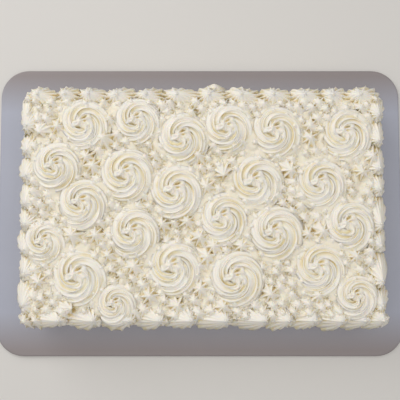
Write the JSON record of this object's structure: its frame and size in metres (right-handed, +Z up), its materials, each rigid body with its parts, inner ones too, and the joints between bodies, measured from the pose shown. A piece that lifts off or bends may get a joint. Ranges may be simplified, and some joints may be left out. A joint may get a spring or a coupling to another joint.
{
  "type": "sheet cake",
  "caption": "Oblong sheet cake iced in ivory buttercream, with piped spiral rosettes, star drops and a shell border, on a rounded silver board.",
  "frame": {"origin": "centre of the board's underside, on the surface that the board lies on", "axes": "+X along the cake's length, +Y across it towards the back edge, +Z up"},
  "size_m": [0.483, 0.343, 0.0778],
  "materials": {
    "board": "board covered in silver foil paper, satin",
    "base_icing": "ivory buttercream smoothed with a spatula, satin",
    "buttercream": "piped ivory buttercream, satin"
  },
  "bodies": {
    "root": {"board": "board", "cake": "base_icing", "border_front": "buttercream", "border_back": "buttercream", "border_left": "buttercream", "border_right": "buttercream", "rosette_01": "buttercream", "rosette_02": "buttercream", "rosette_03": "buttercream", "rosette_04": "buttercream", "rosette_05": "buttercream", "rosette_06": "buttercream", "rosette_07": "buttercream", "rosette_08": "buttercream", "rosette_09": "buttercream", "rosette_10": "buttercream", "rosette_11": "buttercream", "rosette_12": "buttercream", "rosette_13": "buttercream", "rosette_14": "buttercream", "rosette_15": "buttercream", "rosette_16": "buttercream", "rosette_17": "buttercream", "rosette_18": "buttercream", "rosette_19": "buttercream", "rosette_20": "buttercream", "rosette_21": "buttercream", "rosette_22": "buttercream", "rosette_23": "buttercream"}
  },
  "joints": []
}
